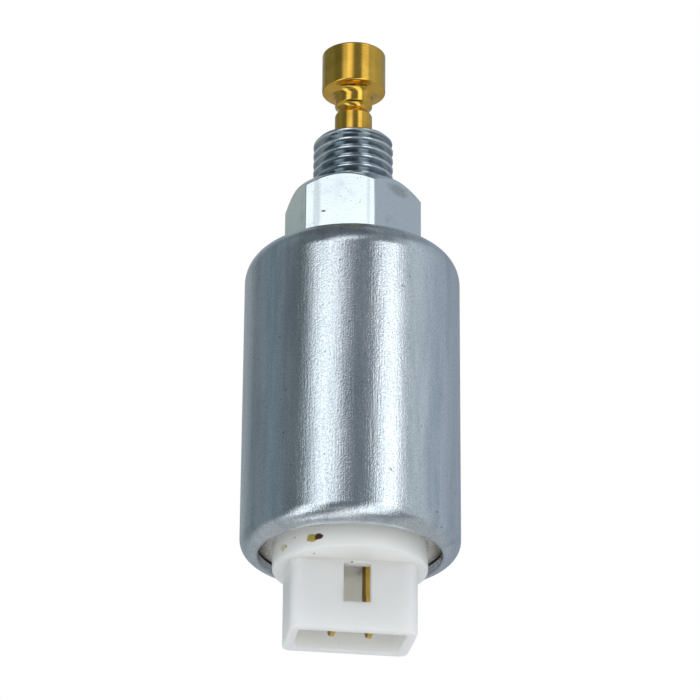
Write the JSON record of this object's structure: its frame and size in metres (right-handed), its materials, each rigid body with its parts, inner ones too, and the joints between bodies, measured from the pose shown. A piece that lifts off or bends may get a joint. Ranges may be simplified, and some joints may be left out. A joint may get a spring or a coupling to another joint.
{
  "type": "fuel shutoff solenoid",
  "caption": "Cylindrical fuel shutoff solenoid with a hexagon, a threaded nose, a sliding brass valve and a rectangular blade socket.",
  "frame": {"origin": "on the solenoid's axis at the rim of the plug socket, the lowest plane of the part", "axes": "+Z along the axis from the plug socket to the valve head, -Y the side of the latch window that faces the camera in the picture, +X to the right as seen from there"},
  "size_m": [0.0264, 0.0264, 0.0786],
  "materials": {
    "can_zinc": "drawn steel, zinc plated, satin",
    "fitting_zinc": "turned steel, bright zinc plated",
    "brass": "turned, bright",
    "blade_brass": "stamped, bright",
    "white_nylon": "moulded natural nylon, slightly translucent",
    "bobbin_nylon": "moulded nylon",
    "soft_iron": "turned soft iron",
    "spring_steel": "drawn wire and rolled strip",
    "copper": "enamelled copper wire",
    "tape": "polyester winding tape",
    "lead_insulation": "insulated wire",
    "seal_rubber": "moulded nitrile rubber"
  },
  "bodies": {
    "housing": {"can": "can_zinc", "threaded_fitting": "fitting_zinc", "stop_core": "soft_iron", "return_spring": "spring_steel", "bumper": "seal_rubber", "guide_sleeve": "brass", "sleeve_seal_front": "seal_rubber", "sleeve_seal_rear": "seal_rubber", "bobbin": "bobbin_nylon", "coil_winding": "copper", "winding_tape": "tape", "wave_washer": "spring_steel", "front_flux_plate": "soft_iron", "rear_flux_plate": "soft_iron", "cap_seal": "seal_rubber", "connector_cap": "white_nylon", "terminal_left": "blade_brass", "terminal_right": "blade_brass", "lead_left": "lead_insulation", "lead_right": "lead_insulation"},
    "plunger": {"valve_head": "brass", "armature": "soft_iron"}
  },
  "joints": [
    {"name": "plunger_slide", "type": "slide", "parent": "housing", "child": "plunger", "axis": [0, 0, -1], "range_m": [0, 0.0035], "stiffness_N_per_m": 400, "springref_m": -0.006, "deforming": ["return_spring"]}
  ]
}
